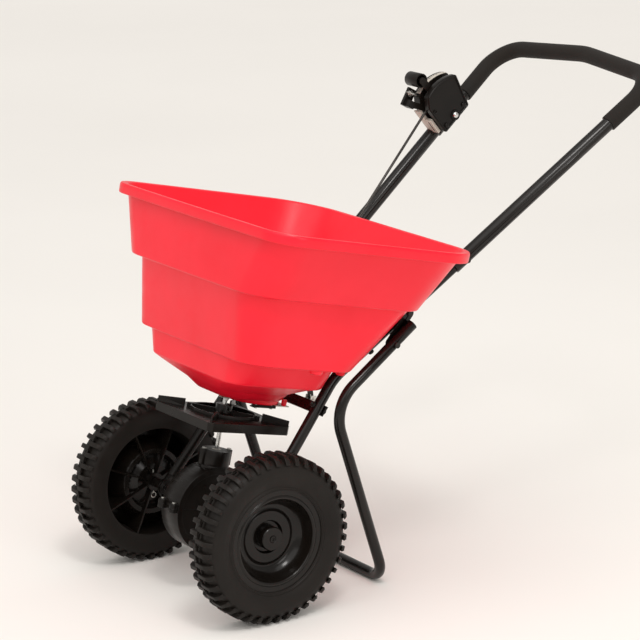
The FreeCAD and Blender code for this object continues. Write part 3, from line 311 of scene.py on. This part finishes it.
# The tyre's section as (radius, distance out), with a bulged wall and bead rings outboard.
CARCASS = [
    (98.0, TYRE_IN + 7), (104.0, TYRE_IN + 3.5), (118.0, TYRE_IN + 1.6), (132.0, TYRE_IN + 2.2),
    (140.0, TYRE_IN + 4.5), (CARCASS_RADIUS - 1, TYRE_IN + 9),
    (CARCASS_RADIUS + 0.4, 196), (CARCASS_RADIUS + 0.6, 212), (CARCASS_RADIUS, 222),
    (143.0, 228), (139.5, 233.5), (133.5, 237.6), (125, 239.8), (115, 239.6), (106, 237.2),
    (100.4, 234.6), (98.6, 234.9), (97.2, 236.3), (95.6, 236.3), (94.4, 234.6), (93.2, 235.2),
    (92.0, 234.8), (91.8, 231.7), (96.5, 231.2), (98.0, 229.5), (98.0, 224.0),
]

# How far a bar's crown sinks, as (share of the way across, drop).
OUTER_DROPS = ((0.0, 0.5), (0.35, 0.2), (0.66, 0.5), (0.74, 1.4), (0.86, 4.6), (0.97, 9.4), (1.0, 12.0))
INNER_DROPS = ((0.0, 9.0), (0.08, 4.5), (0.2, 1.3), (0.3, 0.5), (0.7, 0.1), (1.0, 0.3))
MIDDLE_DROPS = ((0.0, 0.6), (0.5, 0.3), (1.0, 0.6))

# Each row is (share of the pitch, from, to, width, crown, foot, drops, stagger).
LUG_ROWS = (
    (0.0, 202.5, 239.0, 8.6, TREAD_RADIUS - 0.1, LUG_FOOT, OUTER_DROPS, 1.2),
    (0.42, 177.6, 206.5, 8.4, TREAD_RADIUS, LUG_FOOT, INNER_DROPS, -1.0),
    (0.21, 203.8, 211.2, 6.6, TREAD_RADIUS - 2.6, 143.0, MIDDLE_DROPS, 0.0),
)
# Each rib round the tyre is (from, to, crown).
RIB_FOOT = 143.0
RIBS = ((202.6, 206.4, 150.8), (211.0, 213.6, 148.8))

# The rim's rolled lip and rounded bowl, as (radius, distance out).
BOWL = [
    (84.0, 230.0), (82.0, 232.6), (78.6, 233.8), (75.4, 232.2), (74.0, 227.0), (71.6, 218.0),
    (67.0, 209.0), (61.0, 202.4), (54.5, 199.2), (50.0, 200.0), (47.2, 203.0), (45.6, 203.4),
    (45.6, 200.0), (54.5, 196.4), (62.0, 199.6), (69.0, 207.5), (74.0, 217.5), (76.6, 226.5),
    (79.0, 229.2),
]
CAP_RING = [(3.0, 217.2), (3.0, 218.9), (5.2, 219.3), (5.2, 217.2)]
CAP_DOT = [(1.0, 217.2), (1.0, 218.3), (2.1, 218.1), (2.1, 217.2)]


def wheel_matrix(side):
    """Local +Z runs outboard from the middle of the axle."""
    return Matrix.Translation(AXLE) @ Matrix.Rotation(math.radians(90 * side), 4, "Y")


def lug(work, turn, low, high, width, top, foot, drops, stagger):
    """One bar of tread from low to high across the tyre, leaning by the stagger."""
    half = width / 2
    rings = []
    for share, drop in drops:
        x = low + (high - low) * share
        crown = top - drop
        root = min(foot, crown - 2.5)
        offset = stagger * (share - 0.5)
        ring = []
        for r, along in (
                (root, half * 1.15), (crown - 0.7, half), (crown, half - 0.8),
                (crown, 0.8 - half), (crown - 0.7, -half), (root, -half * 1.15)):
            angle = turn + (along + offset) / TREAD_RADIUS
            ring.append((r * math.cos(angle) * MM, r * math.sin(angle) * MM, x * MM))
        rings.append(ring)
    loft(work, rings)


def tyre(side, word, body):
    """A carcass with cross bars in staggered rows, tied by ribs round the tyre."""
    work = bmesh.new()
    turned(work, section(CARCASS, 2.2, 2), TYRE_SEGMENTS)
    pitch = 2 * math.pi / LUG_COUNT
    for index in range(LUG_COUNT):
        for shift, *row in LUG_ROWS:
            lug(work, index * pitch + pitch * shift, *row)
    piece = built(word + "_lugged_tyre", body, "tyre_rubber", work, wheel_matrix(side), 30)
    ribs = bmesh.new()
    for low, high, top in RIBS:
        corners = [(RIB_FOOT, low - 1), (top, low), (top, high), (RIB_FOOT, high + 1)]
        turned(ribs, section(corners, 0.8, 2), TYRE_SEGMENTS)
    built(word + "_tread_ribs", body, "tyre_rubber", ribs, wheel_matrix(side), 38)
    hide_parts(word + "_tyre")


def dish(side, word, body):
    """The bowl inside the tyre, and the rings moulded in the middle of its cap."""
    bowl = bmesh.new()
    turned(bowl, section(BOWL, 3.0, 3), 128)
    built(word + "_rim_bowl", body, "wheel_plastic", bowl, wheel_matrix(side), 40)
    rings = bmesh.new()
    turned(rings, section(CAP_RING, 0.5, 2), 40)
    turned(rings, section(CAP_DOT, 0.3, 2), 24)
    built(word + "_cap_ring", body, "wheel_plastic", rings, wheel_matrix(side), 40)


for wheel_side, wheel_word, wheel_body in ((LEFT, "left", "left_wheel"), (RIGHT, "right", "drive_axle")):
    tyre(wheel_side, wheel_word, wheel_body)
    dish(wheel_side, wheel_word, wheel_body)

# ---------------------------------------------------------------- spinner

SPINNER_WALL = [(58.0, 172.6), (57.6, 181.0), (60.0, 181.0), (60.6, 172.6)]
SPINNER_HUB = [(15.2, 173.0), (15.2, 177.5), (19.0, 175.6), (23.0, 173.0)]


def spinner_ring():
    """The round wall inside the vanes, and the fillet round the hub's foot."""
    work = bmesh.new()
    turned(work, section(SPINNER_WALL, 0.6, 2), 96)
    turned(work, section(SPINNER_HUB, 0.8, 2), 48)
    built("spinner_ring", "spinner_unit", "black_plastic", work, DECK)


spinner_ring()

# ---------------------------------------------------------------- dial details

# Places on the dial are (y, z) from its pivot, and x is from the middle of the machine.
PIVOT = JOINTS["lever_turn"]["pos_m"]
DIAL = Matrix.Translation((0.0, PIVOT[1], PIVOT[2]))
ARC_RADIUS = 79.0
ARC = [
    (ARC_RADIUS * math.cos(math.radians(a)), ARC_RADIUS * math.sin(math.radians(a)))
    for a in range(150, 91, -4)]
COVER_ENDS = ((-65.3, 16.2), (-23.7, -32.9))
CASE_EDGE = [(-1.3, ARC_RADIUS), (31.4, 16.6), COVER_ENDS[1], COVER_ENDS[0]]

FACE_X = -160.6         # just inside the near case's face
BEAD = [(0.9, FACE_X), (0.9, -159.2), (1.7, -158.3), (3.1, -158.3), (3.9, -159.2), (3.9, FACE_X)]
# Each eye is (y, z, outer radius, inner radius).
EYES = ((-49.3, 10.3, 4.6, 2.4), (-1.0, 0.0, 10.6, 8.4))
SCREW_SPOTS = ((18.5, 18.3), (-21.5, -18.0))
SCREW_CAP = ((4.9, -160.4), (4.9, -158.4), (4.2, -157.6), (2.2, -157.2))

# Each part of the cover is (from, to, near side), along the case's lower edge.
COVER_PARTS = ((4.0, 27.0, -187.4), (27.0, 61.0, -172.2))
COVER_FAR = -205.6
COVER_MIDDLE = -195.0
SLOT_MIDDLE = -180.5


def inset(points, amount):
    """The closed outline moved inwards by an amount. Its corners run clockwise as seen from +X."""
    result = []
    count = len(points)
    for index, point in enumerate(points):
        before, after = points[index - 1], points[(index + 1) % count]
        normals = []
        for a, b in ((before, point), (point, after)):
            dy, dz = b[0] - a[0], b[1] - a[1]
            span = math.hypot(dy, dz)
            normals.append((dz / span, -dy / span))
        share = 1 + normals[0][0] * normals[1][0] + normals[0][1] * normals[1][1]
        result.append(tuple(
            c + amount * (m + n) / max(share, 0.5) for c, m, n in zip(point, *normals)))
    return result


def rounded_outline(points, radius, steps=5):
    """A closed outline with its corners rounded."""
    count = len(points)
    result = []
    for index, corner in enumerate(points):
        ends = []
        for other in (points[index - 1], points[(index + 1) % count]):
            span = math.dist(corner, other)
            reach = min(radius, span * 0.48) / span
            ends.append([c + (o - c) * reach for c, o in zip(corner, other)])
        result += corner_curve(ends[0], corner, ends[1], steps)
    return result


def dial_rim():
    """The raised bead round the near case, and the eyes and screw caps on its face."""
    edge = rounded_outline(ARC + CASE_EDGE, 4.0)
    work = bmesh.new()
    loft(work, [[(x * MM, y * MM, z * MM) for y, z in inset(edge, amount)] for amount, x in BEAD],
         loop=True)
    for y, z, outer, eye in EYES:
        profile = [(outer, FACE_X), (outer - 0.3, -158.9), (eye + 0.6, -158.7), (eye, -159.4), (eye, FACE_X)]
        loft(work, [side_ring(x, y, z, r, 32) for r, x in profile], loop=True)
    for y, z in SCREW_SPOTS:
        loft(work, [side_ring(x, y, z, r, 28) for r, x in SCREW_CAP])
    built("dial_case_rim", "frame", "black_plastic", work, DIAL, 40)


def dial_cover():
    """The pale cover under the far case, with a dark slot along it."""
    start, end = (Vector((0.0, y, z)) for y, z in COVER_ENDS)
    along = (end - start).normalized()
    out = Vector((0.0, along.z, -along.y))

    def spot(place, depth, x):
        return tuple((start + along * place + out * depth + Vector((x, 0, 0))) * MM)

    cover = bmesh.new()
    for low, high, near in COVER_PARTS:
        corners = [(0.4, COVER_FAR), (7.4, COVER_FAR), (7.4, near), (0.4, near)]
        rings = []
        for place, shrink in ((low, 0.85), (low + 0.8, 1.0), (high - 0.8, 1.0), (high, 0.85)):
            rings.append([
                spot(place, 0.4 + (depth - 0.4) * shrink, COVER_MIDDLE + (x - COVER_MIDDLE) * shrink)
                for depth, x in section(corners, 1.2, 3)])
        loft(cover, rings)
    built("dial_cover", "frame", "pale_plastic", cover, DIAL)
    groove = bmesh.new()
    rings = []
    for place, wide in ((31.0, 0.6), (32.0, 1.1), (54.0, 1.1), (55.0, 0.6)):
        near, far = SLOT_MIDDLE + wide, SLOT_MIDDLE - wide
        rings.append([
            spot(place, depth, x) for depth, x in ((7.2, far), (7.7, far), (7.7, near), (7.2, near))])
    loft(groove, rings)
    built("dial_cover_slot", "frame", "black_plastic", groove, DIAL)


def dial_ticks():
    """Plain divisions across the scale, with every fourth one longer."""
    work = bmesh.new()
    for number, angle in enumerate(range(95, 146, 3)):
        rings = []
        for x in (-199.2, -191.5 if number % 4 == 0 else -195.0):
            ring = []
            for r, swing in ((79.6, -0.35), (80.15, -0.3), (80.15, 0.3), (79.6, 0.35)):
                turn = math.radians(angle + swing)
                ring.append((x * MM, r * math.cos(turn) * MM, r * math.sin(turn) * MM))
            rings.append(ring)
        loft(work, rings)
    built("scale_divisions", "frame", "black_plastic", work, DIAL)


dial_rim()
dial_cover()
dial_ticks()

# ---------------------------------------------------------------- hopper

# Each level is (height, half width, front, back, front corner radius, back corner radius)
# in the deck's frame.
HOPPER_OUTSIDE = [
    (213.4, 28.0, -12.0, 82.0, 12.0, 14.0),
    (213.4, 62.0, -38.0, 99.0, 33.0, 46.0),
    (229.0, 79.0, -56.0, 104.0, 36.0, 50.0),
    (247.5, 124.0, -82.0, 113.0, 32.0, 50.0),
    (254.7, 145.7, -89.8, 120.0, 32.0, 42.0),
    (297.0, 163.8, -94.5, 128.0, 42.0, 45.0),
    (299.0, 198.0, -99.5, 141.0, 50.0, 50.0),
    (421.0, 208.8, -120.4, 245.0, 60.0, 62.0),
    (423.4, 232.3, -131.7, 247.5, 66.0, 68.0),
    (534.0, 279.6, -131.4, 303.0, 62.0, 97.0),
    (536.5, 287.6, -138.6, 309.6, 60.0, 101.0),
    (524.0, 288.2, -139.4, 310.4, 60.0, 101.0),
    (524.0, 291.4, -142.6, 313.4, 63.0, 104.0),
    (539.5, 291.8, -143.0, 313.8, 63.0, 104.0),
    (542.6, 290.0, -141.2, 312.0, 61.0, 102.5),
]
HOPPER_INSIDE = [
    (543.0, 286.6, -137.8, 308.6, 58.0, 99.5),
    (542.2, 279.4, -130.6, 302.2, 54.0, 95.0),
    (538.0, 277.6, -128.4, 300.6, 52.0, 94.0),
    (426.4, 229.3, -128.7, 244.5, 62.0, 65.0),
    (424.6, 205.8, -117.4, 242.0, 57.0, 59.0),
    (302.0, 195.0, -96.5, 138.0, 46.0, 46.0),
    (300.2, 160.8, -91.5, 125.0, 39.0, 42.0),
    (257.7, 142.7, -86.8, 117.0, 29.0, 37.0),
    (250.5, 121.0, -79.0, 110.0, 29.0, 47.0),
    (232.0, 76.0, -53.0, 101.0, 33.0, 47.0),
    (216.4, 59.0, -35.0, 96.0, 30.0, 43.0),
    (216.4, 28.0, -12.0, 82.0, 12.0, 14.0),
]
CORNER_STEPS = 12
EDGE_STEPS = 10
LEVEL_ROUNDING = 3.2

# The front wall bows outwards, more towards the rim.
FRONT_BOW = 4.0
BOW_REACH = 60.0
BOW_FROM = 230.0
BOW_RISE = 313.0

OUTLETS = ((-28.0, 64.0), (0.0, 64.0), (28.0, 64.0))
OUTLET_RADIUS = 9.0
SHAFT_HOLE_RADIUS = 9.1
CUT_FROM, CUT_TO = 190, 230
BOSS_MIDDLE = 53.0
BOSS = [(0.0, 203.2), (50.0, 203.2), (52.0, 205.0), (54.0, 214.6), (0.0, 214.6)]

# Each pad is (x, y, height, half width, half depth, half thickness).
PADS = (
    (186.0, 52.0, 296.0, 9.0, 13.0, 5.5),
    (150.0, 131.0, 296.5, 12.0, 8.0, 10.0),
    (-150.0, 131.0, 296.5, 12.0, 8.0, 10.0),
    (52.0, 92.0, 210.6, 5.0, 5.0, 6.0),
    (-52.0, 92.0, 210.6, 5.0, 5.0, 6.0),
)
# A pad's outline, as (share of its thickness, share of its width).
PAD_LEVELS = ((-1.0, 0.72), (-0.7, 0.94), (0.0, 1.0), (1.0, 1.0))


def outline(level):
    """Points round a rounded rectangle at one level of the hopper."""
    height, half, front, back, front_radius, back_radius = level
    corners = (
        (half, front, front_radius, -90), (half, back, back_radius, 0),
        (-half, back, back_radius, 90), (-half, front, front_radius, 180),
    )
    arcs = []
    for x, y, radius, turn in corners:
        centre = (x - math.copysign(radius, x), y + (radius if y == front else -radius))
        arc = []
        for step in range(CORNER_STEPS + 1):
            angle = math.radians(turn + 90 * step / CORNER_STEPS)
            arc.append((centre[0] + radius * math.cos(angle), centre[1] + radius * math.sin(angle)))
        arcs.append(arc)
    points = []
    for index, arc in enumerate(arcs):
        points += arc
        start, end = arc[-1], arcs[(index + 1) % 4][0]
        for step in range(1, EDGE_STEPS):
            share = step / EDGE_STEPS
            points.append(tuple(s + (e - s) * share for s, e in zip(start, end)))
    bowed = []
    for x, y in points:
        forward = max(0.0, 1 - (y - front) / BOW_REACH) * max(0.0, height - BOW_FROM) / BOW_RISE
        bow = FRONT_BOW * forward * (1 - (x / half) ** 2)
        bowed.append((x * MM, (y - bow) * MM, height * MM))
    return bowed


def drum(radius, x, y):
    """A closed cylinder mesh through the hopper's bottom, in the deck's frame."""
    work = bmesh.new()
    loft(work, [level_ring(x, y, height, radius, radius, 48) for height in (CUT_FROM, CUT_TO)])
    return from_bmesh("drum", work)


def drilled(mesh, cutters):
    """The mesh with closed cutter meshes taken out of it, moved on to the deck."""
    base = bpy.data.objects.new("work_base", mesh)
    scene.collection.objects.link(base)
    tools = []
    for number, cutter in enumerate(cutters):
        tool = bpy.data.objects.new("work_tool", cutter)
        scene.collection.objects.link(tool)
        tools.append(tool)
        modifier = base.modifiers.new("cut" + str(number), "BOOLEAN")
        modifier.object = tool
        modifier.operation = "DIFFERENCE"
        modifier.solver = "EXACT"
    bpy.context.view_layer.update()
    graph = bpy.context.evaluated_depsgraph_get()
    result = bpy.data.meshes.new_from_object(base.evaluated_get(graph))
    for item in (base, *tools):
        bpy.data.objects.remove(item)
    result.transform(DECK)
    return result


def hopper_shell():
    """The tiered shell with its turned-down lip, its outlets and the hole for the shaft."""
    work = bmesh.new()
    levels = softened(HOPPER_OUTSIDE, LEVEL_ROUNDING) + softened(HOPPER_INSIDE, LEVEL_ROUNDING)
    loft(work, [outline(level) for level in levels])
    shell = from_bmesh("hopper_shell", work)
    holes = [drum(OUTLET_RADIUS, x, y) for x, y in OUTLETS] + [drum(SHAFT_HOLE_RADIUS, 0, 0)]
    return new_piece("hopper_shell", "frame", "hopper_plastic", drilled(shell, holes))


def outlet_boss():
    """The round boss under the outlets."""
    work = bmesh.new()
    loft(work, [
        level_ring(0.0, BOSS_MIDDLE, height, radius, radius, 96)
        for radius, height in softened(BOSS, 1.2, 2)[1:-1]])
    boss = from_bmesh("outlet_boss", work)
    holes = [drum(OUTLET_RADIUS, x, y) for x, y in OUTLETS]
    new_piece("outlet_boss", "frame", "hopper_plastic", drilled(boss, holes))


def hopper_pads():
    """The bumps and pegs moulded under the lower step and beside the boss."""
    work = bmesh.new()
    for x, y, middle, wide, deep, tall in PADS:
        loft(work, [
            level_ring(x, y, middle + tall * rise, wide * grow, deep * grow, 20)
            for rise, grow in PAD_LEVELS])
    built("hopper_pads", "frame", "hopper_plastic", work, DECK)


hopper_piece = hopper_shell()
outlet_boss()
hopper_pads()
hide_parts("hopper")

# ---------------------------------------------------------------- the CAD nodes' own finish

WELD_DISTANCE = 0.00001
EDGE_WIDTH = 0.0004
WIDER_EDGES = {
    "spinner": 0.0008, "rate_stop": 0.0008, "lever_knob": 0.0012,
    "gearbox_upper": 0.0012, "gearbox_lower": 0.0012, "gearbox_collar": 0.0012,
    "left_rim": 0.0009, "right_rim": 0.0009, "left_hub_cap": 0.0009, "right_hub_cap": 0.0009,
    "dial_case_left": 0.0007, "dial_case_right": 0.0007,
}
for name, node in NODES.items():
    node.data.materials.clear()
    node.data.materials.append(SLOTS[SLOT_OF[name]])
    weld = node.modifiers.new("weld", "WELD")
    weld.merge_threshold = WELD_DISTANCE
    edge = node.modifiers.new("edge", "BEVEL")
    edge.width = WIDER_EDGES.get(name, EDGE_WIDTH)
    edge.segments = 2
    edge.limit_method = "ANGLE"
    edge.angle_limit = math.radians(38)
    edge.harden_normals = True

# ---------------------------------------------------------------- studio

FLOOR_SIZE = 40.0
FLOOR_HEIGHT = -0.0005
WARM_WHITE = (1.0, 0.975, 0.95)

floor_work = bmesh.new()
bmesh.ops.create_grid(floor_work, x_segments=2, y_segments=2, size=FLOOR_SIZE)
floor_mesh = from_bmesh("studio_floor", floor_work, Matrix.Translation((0, 0, FLOOR_HEIGHT)))
floor = bpy.data.objects.new("studio_floor", floor_mesh)
scene.collection.objects.link(floor)
PAPER = surface(
    "studio_paper", (0.88, 0.855, 0.82), (0.90, 0.875, 0.84), 0.75, 0.85, 300, 0.0001, mottle=0.6)
floor.data.materials.append(PAPER)

world = bpy.data.worlds.new("studio")
scene.world = world
world.use_nodes = True
sky = world.node_tree.nodes["Background"]
sky.inputs["Color"].default_value = (1.0, 0.975, 0.94, 1)
sky.inputs["Strength"].default_value = 0.60


def lamp(name, kind, power, colour):
    """A lamp object, not yet placed."""
    data = bpy.data.lights.new(name, kind)
    data.energy = power
    data.color = colour
    light = bpy.data.objects.new(name, data)
    scene.collection.objects.link(light)
    return light


def area_light(name, place, target, side, power):
    """A square light that faces its target."""
    light = lamp(name, "AREA", power, WARM_WHITE)
    light.data.shape = "RECTANGLE"
    light.data.size = light.data.size_y = side
    light.location = place
    light.rotation_euler = (Vector(target) - Vector(place)).to_track_quat("-Z", "Y").to_euler()


area_light("key", (1.9, -1.1, 3.4), (0.0, -0.1, 0.35), 0.7, 32)
area_light("fill", (3.4, -0.2, 1.6), (0, 0, 0.5), 1.0, 12)
window = lamp("window", "SUN", 1.36, (1.0, 0.985, 0.965))
window.data.angle = math.radians(75)
window.rotation_euler = (math.radians(24), math.radians(18), 0)

camera_data = bpy.data.cameras.new("camera")
camera_data.lens = CAMERA_LENS
camera_data.sensor_width = CAMERA_SENSOR
camera = bpy.data.objects.new("camera", camera_data)
camera.location = CAMERA_PLACE
camera.rotation_euler = (math.radians(90 - CAMERA_ELEVATION), 0, math.radians(CAMERA_AZIMUTH))
scene.collection.objects.link(camera)
scene.camera = camera
scene.view_settings.view_transform = "Standard"
